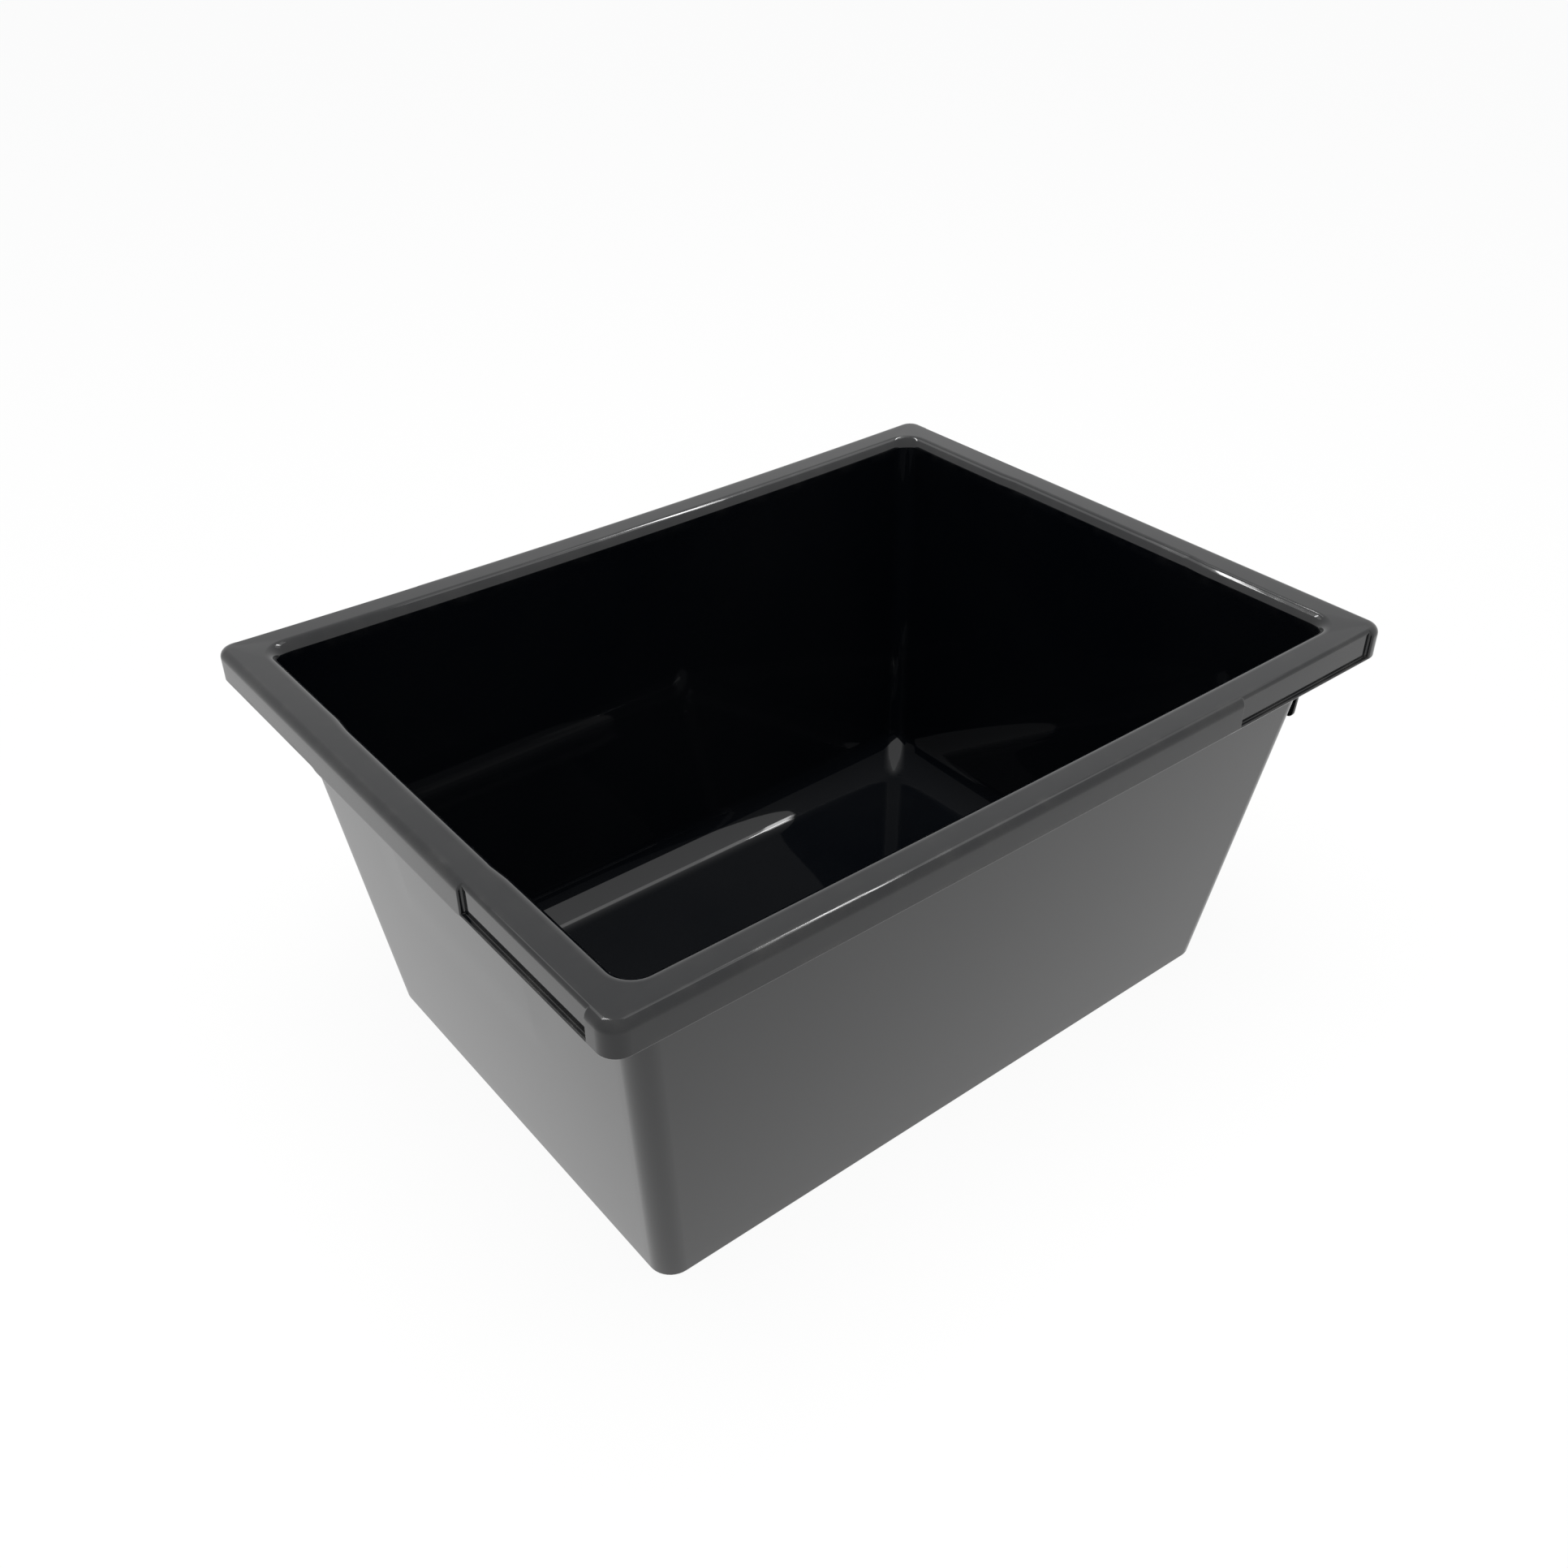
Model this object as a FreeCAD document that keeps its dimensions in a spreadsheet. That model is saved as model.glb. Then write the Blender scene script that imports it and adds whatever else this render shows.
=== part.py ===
# Mortar mixing tub: one injection-moulded black plastic tub of about 50 litres.
#
# The frame: X along the tub, Y across it, Z up, origin at the middle of the underside of the floor.
# The whole moulding is drawn once, as the body "tub_moulding". It is then parted into the regions
# that a person would name (floor pan, walls, rim sides, skirts), which meet face to face.
import FreeCAD
import Part
import Sketcher
import os

doc = FreeCAD.newDocument("mortar_mixing_tub")

# ---------------------------------------------------------------- driving dimensions, in millimetres
SIZES = [
    ("height", 282.0, "top of the rim above the ground"),
    ("rim_length", 600.0, "over the skirts of the short sides"),
    ("rim_width", 454.0, "over the skirts of the long sides"),
    ("rim_corner_radius", 12.0, "outer corner of the rim, seen from above"),
    ("end_reach", 24.0, "from a short wall's outer face to the rim's outer face, level with the rim"),
    ("side_reach", 22.5, "from a long wall's outer face to the rim's outer face, level with the rim"),
    ("base_length", 486.0, "outer wall faces at the ground"),
    ("base_width", 336.0, "outer wall faces at the ground"),
    ("wall_corner_radius", 15.5, "outer corner between two walls"),
    ("wall_thickness", 2.5, "walls"),
    ("floor_thickness", 3.0, "floor"),
    ("base_edge_radius", 2.5, "outer edge between walls and underside"),
    ("floor_edge_radius", 12.0, "inner edge between walls and floor"),
    ("flange_thickness", 3.0, "flat top of the rim"),
    ("skirt_thickness", 2.5, "vertical lip that hangs from the flange"),
    ("skirt_depth", 21.0, "lip, measured from the top of the rim"),
    ("rim_edge_radius", 5.5, "outer top edge of the rim"),
    ("mouth_edge_radius", 7.0, "inner top edge of the rim"),
    ("channel_wall_radius", 4.5, "inside corner under the flange, at the wall"),
    ("channel_skirt_radius", 2.5, "inside corner under the flange, at the skirt"),
    ("recess_depth", 2.6, "how far a recess panel is set back from the skirt"),
    ("recess_edge_radius", 2.5, "top edge of the recess panel"),
    ("recess_ledge", 1.5, "ledge along the bottom of a recess"),
    ("long_recess_length", 128.0, "recess in a long side"),
    ("long_recess_inset", 14.0, "from the end of the rim to the recess in a long side"),
    ("short_recess_length", 118.0, "recess in a short side"),
    ("short_recess_inset", 21.0, "from the end of the rim to the recess in a short side"),
    ("grip_length", 174.0, "hand grip, the deeper middle of the skirt on a short side"),
    ("grip_drop", 1.5, "how much deeper the skirt is at a hand grip"),
    ("stop_length", 60.0, "nesting stop, along the rim"),
    ("stop_thickness", 2.5, "nesting stop"),
    ("stop_bottom", 200.0, "lower edge of the nesting stop above the ground"),
    ("stop_inset", 11.0, "from the rim's outer face to the top of the nesting stop"),
    ("stop_end", 40.0, "from the rim's corner to the near end of the nesting stop"),
    ("stop_corner_radius", 4.0, "lower corners of the nesting stop"),
    ("pan_height", 20.0, "floor pan region, floor and the rounded foot of the walls"),
]

sheet = doc.addObject("Spreadsheet::Sheet", "sizes")
for row, (alias, value, meaning) in enumerate(SIZES, start=1):
    sheet.set(f"A{row}", alias)
    sheet.set(f"B{row}", str(value))
    sheet.set(f"C{row}", meaning)
    sheet.setAlias(f"B{row}", alias)
doc.recompute()


def size(expression):
    """The number that an expression on the sheet gives, used for starting points only."""
    found = sheet.evalExpression(expression)
    return float(getattr(found, "Value", found))


TOUCH = 0.01  # two coordinates closer than this are the same place
CLEAR = 5  # how far a cutting shape stands out of what it cuts
QUARTER = 1.5707963267948966  # a quarter turn in radians

TOP = "sizes.height"
FLOOR = "sizes.floor_thickness"
FLANGE_BELOW = "sizes.height - sizes.flange_thickness"
SKIRT_BELOW = "sizes.height - sizes.skirt_depth"
RIM = ("sizes.rim_length", "sizes.rim_width")
MOUTH = (
    "(sizes.rim_length - 2 * sizes.end_reach)",
    "(sizes.rim_width - 2 * sizes.side_reach)",
)
BASE = ("sizes.base_length", "sizes.base_width")


# ---------------------------------------------------------------- helpers for sketches and features
def plane(body, role):
    """One of the body's own origin planes."""
    return next(feature for feature in body.Origin.OriginFeatures if feature.Role == role)


def sketch_on(body, name, role, offset="0"):
    """An empty sketch on an origin plane, moved along the plane's normal."""
    sketch = body.newObject("Sketcher::SketchObject", name)
    sketch.AttachmentSupport = [(plane(body, role), "")]
    sketch.MapMode = "FlatFace"
    sketch.setExpression("AttachmentOffset.Base.z", offset)
    return sketch


def dimension(sketch, kind, places, expression, name):
    """A driving dimension of a sketch, tied to the sheet."""
    index = sketch.addConstraint(Sketcher.Constraint(kind, *places, size(expression)))
    sketch.renameConstraint(index, name)
    sketch.setExpression(f"Constraints.{name}", expression)


def add_outline(sketch, name, length, width, radius):
    """A rounded rectangle centred on the sketch's origin."""
    half_x = size(length) / 2
    half_y = size(width) / 2
    corner = size(radius)
    flat_x = half_x - corner
    flat_y = half_y - corner
    sides = [
        ((-flat_x, -half_y), (flat_x, -half_y)),
        ((half_x, -flat_y), (half_x, flat_y)),
        ((flat_x, half_y), (-flat_x, half_y)),
        ((-half_x, flat_y), (-half_x, -flat_y)),
    ]
    centres = [(flat_x, -flat_y), (flat_x, flat_y), (-flat_x, flat_y), (-flat_x, -flat_y)]
    lines = []
    arcs = []
    for turn in range(4):
        start, end = sides[turn]
        line = Part.LineSegment(FreeCAD.Vector(*start, 0), FreeCAD.Vector(*end, 0))
        circle = Part.Circle(FreeCAD.Vector(*centres[turn], 0), FreeCAD.Vector(0, 0, 1), corner)
        arc = Part.ArcOfCircle(circle, (turn - 1) * QUARTER, turn * QUARTER)
        lines.append(sketch.addGeometry(line, False))
        arcs.append(sketch.addGeometry(arc, False))
    for turn in range(4):
        following = lines[(turn + 1) % 4]
        direction = "Horizontal" if turn % 2 == 0 else "Vertical"
        sketch.addConstraint(Sketcher.Constraint("Tangent", lines[turn], 2, arcs[turn], 1))
        sketch.addConstraint(Sketcher.Constraint("Tangent", arcs[turn], 2, following, 1))
        sketch.addConstraint(Sketcher.Constraint(direction, lines[turn]))
    for turn in range(3):
        sketch.addConstraint(Sketcher.Constraint("Equal", arcs[turn], arcs[turn + 1]))
    sketch.addConstraint(Sketcher.Constraint("Symmetric", arcs[0], 3, arcs[2], 3, -1, 1))
    dimension(sketch, "DistanceX", (lines[3], 1, lines[1], 1), length, f"{name}_length")
    dimension(sketch, "DistanceY", (lines[0], 1, lines[2], 1), width, f"{name}_width")
    dimension(sketch, "Radius", (arcs[0],), radius, f"{name}_radius")


def add_box(sketch, name, left, right, bottom, top):
    """A rectangle given by the places of its four sides."""
    x0, x1, y0, y1 = size(left), size(right), size(bottom), size(top)
    points = [(x0, y0), (x1, y0), (x1, y1), (x0, y1)]
    lines = []
    for turn in range(4):
        start = FreeCAD.Vector(*points[turn], 0)
        end = FreeCAD.Vector(*points[(turn + 1) % 4], 0)
        lines.append(sketch.addGeometry(Part.LineSegment(start, end), False))
    for turn in range(4):
        direction = "Horizontal" if turn % 2 == 0 else "Vertical"
        sketch.addConstraint(Sketcher.Constraint(direction, lines[turn]))
        following = lines[(turn + 1) % 4]
        sketch.addConstraint(Sketcher.Constraint("Coincident", lines[turn], 2, following, 1))
    dimension(sketch, "DistanceX", (-1, 1, lines[0], 1), left, f"{name}_left")
    dimension(sketch, "DistanceX", (-1, 1, lines[0], 2), right, f"{name}_right")
    dimension(sketch, "DistanceY", (-1, 1, lines[0], 1), bottom, f"{name}_bottom")
    dimension(sketch, "DistanceY", (-1, 1, lines[2], 1), top, f"{name}_top")


def prism(body, kind, name, sketch, length, reverse=False):
    """A Pad or a Pocket of a sketch; what it adds or cuts away is compared with nothing at all."""
    before = 0 if body.Shape.isNull() else body.Shape.Volume
    feature = body.newObject(f"PartDesign::{kind}", name)
    feature.Profile = sketch
    feature.Type = "Length"
    feature.setExpression("Length", length)
    feature.Reversed = reverse
    doc.recompute()
    change = body.Shape.Volume - before
    if (kind == "Pad") != (change > 0) or abs(change) < TOUCH:
        raise RuntimeError(f"{name} changed the volume by {change:.3f}")
    return feature


def frustum(body, kind, name, bottom, top, low, high):
    """A block or a cavity with flat tapered sides, between a low and a high rectangle."""
    feature = body.newObject(f"PartDesign::{kind}", name)
    feature.AttachmentSupport = [(plane(body, "XZ_Plane"), "")]
    feature.MapMode = "FlatFace"
    low_length, low_width = bottom
    high_length, high_width = top
    feature.setExpression("Ymin", low)
    feature.setExpression("Ymax", high)
    for side, sign in (("min", "-"), ("max", "")):
        feature.setExpression(f"X{side}", f"{sign}({low_length}) / 2")
        feature.setExpression(f"Z{side}", f"{sign}({low_width}) / 2")
        feature.setExpression(f"X2{side}", f"{sign}({high_length}) / 2")
        feature.setExpression(f"Z2{side}", f"{sign}({high_width}) / 2")
    doc.recompute()
    return feature


def round_edges(body, name, radius, chosen):
    """A fillet on the edges of the body's last feature that the test chooses."""
    last = body.Tip
    names = [f"Edge{i}" for i, edge in enumerate(last.Shape.Edges, start=1) if chosen(edge)]
    feature = body.newObject("PartDesign::Fillet", name)
    feature.Base = (last, names)
    feature.setExpression("Radius", radius)
    doc.recompute()
    return feature


def lies_at(edge, level):
    """True for an edge that lies in the horizontal plane at a level."""
    height = size(level)
    return abs(edge.BoundBox.ZMin - height) < TOUCH and abs(edge.BoundBox.ZMax - height) < TOUCH


def spans(edge, low, high):
    """True for an edge that runs from one level up to another."""
    return abs(edge.BoundBox.ZMin - size(low)) < TOUCH and abs(edge.BoundBox.ZMax - size(high)) < TOUCH


def within(edge, outline):
    """True for an edge inside a rectangle centred on the Z axis."""
    half_x, half_y = (size(over) / 2 + TOUCH for over in outline)
    box = edge.BoundBox
    return max(abs(box.XMin), abs(box.XMax)) < half_x and max(abs(box.YMin), abs(box.YMax)) < half_y


def beyond(edge, outline):
    """True for an edge that isn't inside a rectangle centred on the Z axis."""
    return not within(edge, outline)


def add_recess_profile(sketch, half_rim):
    """What a recess takes away, seen along the rim: the skirt's upper part, with a rounded top edge."""
    panel = f"-({half_rim} - sizes.recess_depth)"
    x_out, x_panel = size(f"-({half_rim} + {CLEAR})"), size(panel)
    z_low, z_top, z_out = size(f"{SKIRT_BELOW} + sizes.recess_ledge"), size(TOP), size(f"{TOP} + {CLEAR}")
    radius = size("sizes.recess_edge_radius")
    corners = [
        (x_out, z_low),
        (x_panel, z_low),
        (x_panel, z_top - radius),
        (x_panel + radius, z_top),
        (x_panel + radius, z_out),
        (x_out, z_out),
    ]
    points = [FreeCAD.Vector(*corner, 0) for corner in corners]
    floor = sketch.addGeometry(Part.LineSegment(points[0], points[1]), False)
    face = sketch.addGeometry(Part.LineSegment(points[1], points[2]), False)
    circle = Part.Circle(FreeCAD.Vector(points[3].x, points[2].y, 0), FreeCAD.Vector(0, 0, 1), radius)
    edge = sketch.addGeometry(Part.ArcOfCircle(circle, QUARTER, 2 * QUARTER), False)
    rise = sketch.addGeometry(Part.LineSegment(points[3], points[4]), False)
    lid = sketch.addGeometry(Part.LineSegment(points[4], points[5]), False)
    outside = sketch.addGeometry(Part.LineSegment(points[5], points[0]), False)
    for line in (floor, lid):
        sketch.addConstraint(Sketcher.Constraint("Horizontal", line))
    for line in (face, rise, outside):
        sketch.addConstraint(Sketcher.Constraint("Vertical", line))
    sketch.addConstraint(Sketcher.Constraint("Coincident", floor, 2, face, 1))
    sketch.addConstraint(Sketcher.Constraint("Tangent", face, 2, edge, 2))
    sketch.addConstraint(Sketcher.Constraint("Vertical", edge, 3, edge, 1))
    sketch.addConstraint(Sketcher.Constraint("Coincident", edge, 1, rise, 1))
    sketch.addConstraint(Sketcher.Constraint("Coincident", rise, 2, lid, 1))
    sketch.addConstraint(Sketcher.Constraint("Coincident", lid, 2, outside, 1))
    sketch.addConstraint(Sketcher.Constraint("Coincident", outside, 2, floor, 1))
    dimension(sketch, "DistanceX", (-1, 1, floor, 1), f"-({half_rim} + {CLEAR})", "outside")
    dimension(sketch, "DistanceX", (-1, 1, floor, 2), panel, "panel")
    dimension(sketch, "DistanceY", (-1, 1, floor, 1), f"{SKIRT_BELOW} + sizes.recess_ledge", "ledge_top")
    dimension(sketch, "DistanceY", (-1, 1, edge, 1), TOP, "rim_top")
    dimension(sketch, "DistanceY", (-1, 1, lid, 1), f"{TOP} + {CLEAR}", "over")
    dimension(sketch, "Radius", (edge,), "sizes.recess_edge_radius", "edge")


def half_turn(body, name, originals):
    """The same features once more, half a turn round the Z axis."""
    pattern = body.newObject("PartDesign::PolarPattern", name)
    pattern.Originals = originals
    axis = next(feature for feature in body.Origin.OriginFeatures if feature.Role == "Z_Axis")
    pattern.Axis = (axis, [""])
    pattern.Angle = 360
    pattern.Occurrences = 2
    body.Tip = pattern
    doc.recompute()
    return pattern


# ---------------------------------------------------------------- the moulding: walls, rim and cavity
tub = doc.addObject("PartDesign::Body", "tub_moulding")
tub.Label = "tub_moulding"

# Four tapered walls and a floor: a block with its inside cut away, then its corners rounded.
LEAN_LENGTH = f"({MOUTH[0]} - sizes.base_length) / sizes.height"
LEAN_WIDTH = f"({MOUTH[1]} - sizes.base_width) / sizes.height"
INSIDE_MOUTH = [f"{over} - 2 * sizes.wall_thickness" for over in MOUTH]
INSIDE_FLOOR = [
    f"sizes.base_length - 2 * sizes.wall_thickness + {LEAN_LENGTH} * sizes.floor_thickness",
    f"sizes.base_width - 2 * sizes.wall_thickness + {LEAN_WIDTH} * sizes.floor_thickness",
]
frustum(tub, "AdditiveWedge", "tapered_block", BASE, MOUTH, "0", TOP)
frustum(tub, "SubtractiveWedge", "cavity", INSIDE_FLOOR, INSIDE_MOUTH, FLOOR, TOP)
round_edges(tub, "wall_corners", "sizes.wall_corner_radius", lambda edge: spans(edge, "0", TOP))
round_edges(tub, "cavity_corners", "sizes.wall_corner_radius - sizes.wall_thickness",
            lambda edge: spans(edge, FLOOR, TOP))
round_edges(tub, "base_edge", "sizes.base_edge_radius", lambda edge: lies_at(edge, "0"))
round_edges(tub, "floor_edge", "sizes.floor_edge_radius", lambda edge: lies_at(edge, FLOOR))

# The flat rim all round, and the skirt that hangs from it.
flange = sketch_on(tub, "flange_outline", "XY_Plane", FLANGE_BELOW)
add_outline(flange, "rim", *RIM, "sizes.rim_corner_radius")
MIDDLE_OF_WALL = [f"{over} - sizes.wall_thickness" for over in MOUTH]
add_outline(flange, "wall", *MIDDLE_OF_WALL, "sizes.wall_corner_radius - sizes.wall_thickness / 2")
prism(tub, "Pad", "flange", flange, "sizes.flange_thickness")

skirt = sketch_on(tub, "skirt_outline", "XY_Plane", SKIRT_BELOW)
add_outline(skirt, "outer", *RIM, "sizes.rim_corner_radius")
INSIDE_SKIRT = [f"{over} - 2 * sizes.skirt_thickness" for over in RIM]
add_outline(skirt, "inner", *INSIDE_SKIRT, "sizes.rim_corner_radius - sizes.skirt_thickness")
prism(tub, "Pad", "skirt", skirt, "sizes.skirt_depth - sizes.flange_thickness / 2")

# Rounded edges: inner and outer edge of the rim, and the two inside corners of the channel below it.
round_edges(tub, "mouth_edge", "sizes.mouth_edge_radius",
            lambda edge: lies_at(edge, TOP) and within(edge, INSIDE_MOUTH))
round_edges(tub, "rim_edge", "sizes.rim_edge_radius",
            lambda edge: lies_at(edge, TOP) and beyond(edge, MOUTH))
round_edges(tub, "channel_at_wall", "sizes.channel_wall_radius",
            lambda edge: lies_at(edge, FLANGE_BELOW) and within(edge, MOUTH))
round_edges(tub, "channel_at_skirt", "sizes.channel_skirt_radius",
            lambda edge: lies_at(edge, FLANGE_BELOW) and beyond(edge, MOUTH))

# Four recesses in the skirt, one at the right-hand end of each side, seen from outside. The panel at
# the back of a recess is as thick as the skirt, and a ledge along the bottom comes out to the skirt.
HALF_LENGTH = "sizes.rim_length / 2"
HALF_WIDTH = "sizes.rim_width / 2"
PANEL_BACK = "(sizes.recess_depth + sizes.skirt_thickness)"
BACKING_HEIGHT = "(sizes.skirt_depth - sizes.flange_thickness)"

LONG_END = f"({HALF_LENGTH} - sizes.long_recess_inset)"
LONG_START = f"({LONG_END} - sizes.long_recess_length)"
long_backing = sketch_on(tub, "long_backing_outline", "XY_Plane", SKIRT_BELOW)
add_box(long_backing, "backing", f"{LONG_START} - sizes.skirt_thickness",
        f"{LONG_END} + sizes.skirt_thickness", f"-({HALF_WIDTH} - sizes.skirt_thickness / 2)",
        f"-({HALF_WIDTH} - {PANEL_BACK})")
long_pad = prism(tub, "Pad", "long_backing", long_backing, BACKING_HEIGHT)
long_profile = sketch_on(tub, "long_recess_profile", "YZ_Plane", LONG_END)
add_recess_profile(long_profile, HALF_WIDTH)
long_cut = prism(tub, "Pocket", "long_recess", long_profile, "sizes.long_recess_length")
half_turn(tub, "long_recesses", [long_pad, long_cut])

SHORT_END = f"({HALF_WIDTH} - sizes.short_recess_inset)"
SHORT_START = f"({SHORT_END} - sizes.short_recess_length)"
short_backing = sketch_on(tub, "short_backing_outline", "XY_Plane", SKIRT_BELOW)
add_box(short_backing, "backing", f"-({HALF_LENGTH} - sizes.skirt_thickness / 2)",
        f"-({HALF_LENGTH} - {PANEL_BACK})", f"-({SHORT_END} + sizes.skirt_thickness)",
        f"-({SHORT_START} - sizes.skirt_thickness)")
short_pad = prism(tub, "Pad", "short_backing", short_backing, BACKING_HEIGHT)
short_profile = sketch_on(tub, "short_recess_profile", "XZ_Plane", SHORT_END)
add_recess_profile(short_profile, HALF_LENGTH)
short_cut = prism(tub, "Pocket", "short_recess", short_profile, "sizes.short_recess_length")
half_turn(tub, "short_recesses", [short_pad, short_cut])

# The hand grips: the middle of the skirt on each short side hangs a little deeper.
grip_outline = sketch_on(tub, "grip_outline", "XY_Plane", f"{SKIRT_BELOW} - sizes.grip_drop")
add_box(grip_outline, "grip", f"-{HALF_LENGTH}", f"-({HALF_LENGTH} - sizes.skirt_thickness)",
        "-sizes.grip_length / 2", "sizes.grip_length / 2")
grip = prism(tub, "Pad", "grip", grip_outline, "sizes.grip_drop + sizes.skirt_thickness")
half_turn(tub, "grips", [grip])

# ---------------------------------------------------------------- the nesting stop
# A leaning plate under the rim that keeps stacked tubs from jamming: its foot stands on the next rim.
stop = doc.addObject("PartDesign::Body", "stop_moulding")
stop.Label = "nesting_stop"
STOP_NEAR = f"({HALF_WIDTH} - sizes.stop_end)"
stop_side = sketch_on(stop, "stop_side", "XZ_Plane", f"{STOP_NEAR} - sizes.stop_length")
stop_top_x = f"{HALF_LENGTH} - sizes.stop_inset"
stop_foot_x = f"{stop_top_x} - {LEAN_LENGTH} / 2 * ({FLANGE_BELOW} - sizes.stop_bottom)"
foot_x, top_x, thick = size(stop_foot_x), size(stop_top_x), size("sizes.stop_thickness")
foot_z, top_z = size("sizes.stop_bottom"), size(FLANGE_BELOW)
outline = [(foot_x - thick, foot_z), (foot_x, foot_z), (top_x, top_z), (top_x - thick, top_z)]
lines = []
for turn in range(4):
    start = FreeCAD.Vector(*outline[turn], 0)
    end = FreeCAD.Vector(*outline[(turn + 1) % 4], 0)
    lines.append(stop_side.addGeometry(Part.LineSegment(start, end), False))
for turn in range(4):
    stop_side.addConstraint(Sketcher.Constraint("Coincident", lines[turn], 2, lines[(turn + 1) % 4], 1))
stop_side.addConstraint(Sketcher.Constraint("Horizontal", lines[0]))
stop_side.addConstraint(Sketcher.Constraint("Horizontal", lines[2]))
stop_side.addConstraint(Sketcher.Constraint("Parallel", lines[1], lines[3]))
dimension(stop_side, "DistanceX", (lines[0], 1, lines[0], 2), "sizes.stop_thickness", "thickness")
dimension(stop_side, "DistanceX", (-1, 1, lines[0], 2), stop_foot_x, "foot")
dimension(stop_side, "DistanceX", (-1, 1, lines[1], 2), stop_top_x, "top")
dimension(stop_side, "DistanceY", (-1, 1, lines[0], 1), "sizes.stop_bottom", "foot_level")
dimension(stop_side, "DistanceY", (-1, 1, lines[1], 2), FLANGE_BELOW, "top_level")
prism(stop, "Pad", "stop_plate", stop_side, "sizes.stop_length")
round_edges(stop, "stop_corners", "sizes.stop_corner_radius",
            lambda edge: lies_at(edge, "sizes.stop_bottom") and edge.BoundBox.YLength < TOUCH)

# ---------------------------------------------------------------- the regions of the moulding
# Upright planes at 45 degrees part the four sides, through the corners of the mouth or, for the skirt,
# of the rim. Level planes part the floor pan, the walls and skirts, and the rim above them. A recess
# panel is parted from its skirt.
OUTSIDE = f"({HALF_WIDTH} + {HALF_LENGTH})"
INSIDE = "(sizes.base_width / 4)"
CHANNEL_MIDDLE = f"({MOUTH[1]} / 2 + (sizes.side_reach - {PANEL_BACK}) / 2)"
CHANNEL_TOP = f"({FLANGE_BELOW} - sizes.channel_wall_radius)"


def along_mitre(outline, across):
    """Where the plane through an outline's corners is, along the tub, at a distance across it."""
    return f"({outline[0]} / 2 - {outline[1]} / 2 + {across})"


def sector(name, side, outline, across, levels, part):
    """A prism that holds one side of the tub between two distances and two levels.

    It reaches from corner to corner, or it is only the stretch before or at the side's recess.
    """
    wedge = doc.addObject("Part::Wedge", name)
    near, far = across
    near_half, far_half = along_mitre(outline, near), along_mitre(outline, far)
    recess_start = f"-({LONG_START} - sizes.skirt_thickness)"
    if side in ("left", "right"):
        near, far, near_half, far_half = near_half, far_half, near, far
        recess_start = f"-({SHORT_START} - sizes.skirt_thickness)"
    wedge.setExpression("Ymin", near)
    wedge.setExpression("Ymax", far)
    for end, half in (("X", near_half), ("X2", far_half)):
        wedge.setExpression(f"{end}min", recess_start if part == "before_recess" else f"-{half}")
        wedge.setExpression(f"{end}max", recess_start if part == "at_recess" else half)
    for end in ("Zmin", "Z2min"):
        wedge.setExpression(end, levels[0])
    for end in ("Zmax", "Z2max"):
        wedge.setExpression(end, levels[1])
    upright = FreeCAD.Vector(0, 0, 1)
    wedge.Placement = FreeCAD.Placement(FreeCAD.Vector(), FreeCAD.Rotation(upright, TURN_OF[side]))
    return wedge


def region(name, tool):
    """The part of the moulding inside a tool, as a node of its own."""
    common = doc.addObject("Part::Common", f"{name}_region")
    common.Label = name
    common.Base = tub
    common.Tool = tool
    return common


pan_block = doc.addObject("Part::Box", "pan_block")
pan_block.setExpression("Length", "sizes.rim_length")
pan_block.setExpression("Width", "sizes.rim_width")
pan_block.setExpression("Height", f"sizes.pan_height + {CLEAR}")
pan_block.setExpression("Placement.Base.x", f"-{HALF_LENGTH}")
pan_block.setExpression("Placement.Base.y", f"-{HALF_WIDTH}")
pan_block.setExpression("Placement.Base.z", f"-{CLEAR}")

TURN_OF = {"rear": 0, "left": 90, "front": 180, "right": 270}
BELOW_SKIRT = f"{SKIRT_BELOW} - sizes.grip_drop - {CLEAR}"
BANDS = {
    "wall": (MOUTH, (INSIDE, CHANNEL_MIDDLE), ("sizes.pan_height", CHANNEL_TOP), "whole"),
    "skirt": (RIM, (CHANNEL_MIDDLE, OUTSIDE), (BELOW_SKIRT, CHANNEL_TOP), "before_recess"),
    "recess_panel": (RIM, (CHANNEL_MIDDLE, OUTSIDE), (BELOW_SKIRT, CHANNEL_TOP), "at_recess"),
    "rim": (MOUTH, (INSIDE, OUTSIDE), (CHANNEL_TOP, f"{TOP} + {CLEAR}"), "whole"),
}
nodes = [region("floor_pan", pan_block), stop]
for side in TURN_OF:
    for band, reach in BANDS.items():
        nodes.append(region(f"{side}_{band}", sector(f"{side}_{band}_sector", side, *reach)))
doc.recompute()

# ---------------------------------------------------------------- checks and files
for item in doc.Objects:
    if "Invalid" in item.State or "Error" in item.State:
        raise RuntimeError(f"{item.Label} failed: {item.State}")
for node in nodes:
    if node.Shape.isNull() or not node.Shape.isValid():
        raise RuntimeError(f"{node.Label} has no valid shape")

os.makedirs("parts", exist_ok=True)
for node in nodes:
    node.Shape.exportStep(f"parts/{node.Label}.step")
    box = node.Shape.BoundBox
    extent = f"{box.XLength:.1f} x {box.YLength:.1f} x {box.ZLength:.1f}"
    print(f"{node.Label:14s} {len(node.Shape.Solids)} solid, {node.Shape.Volume:.0f} mm3, {extent}")
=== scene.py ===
import math

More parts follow.
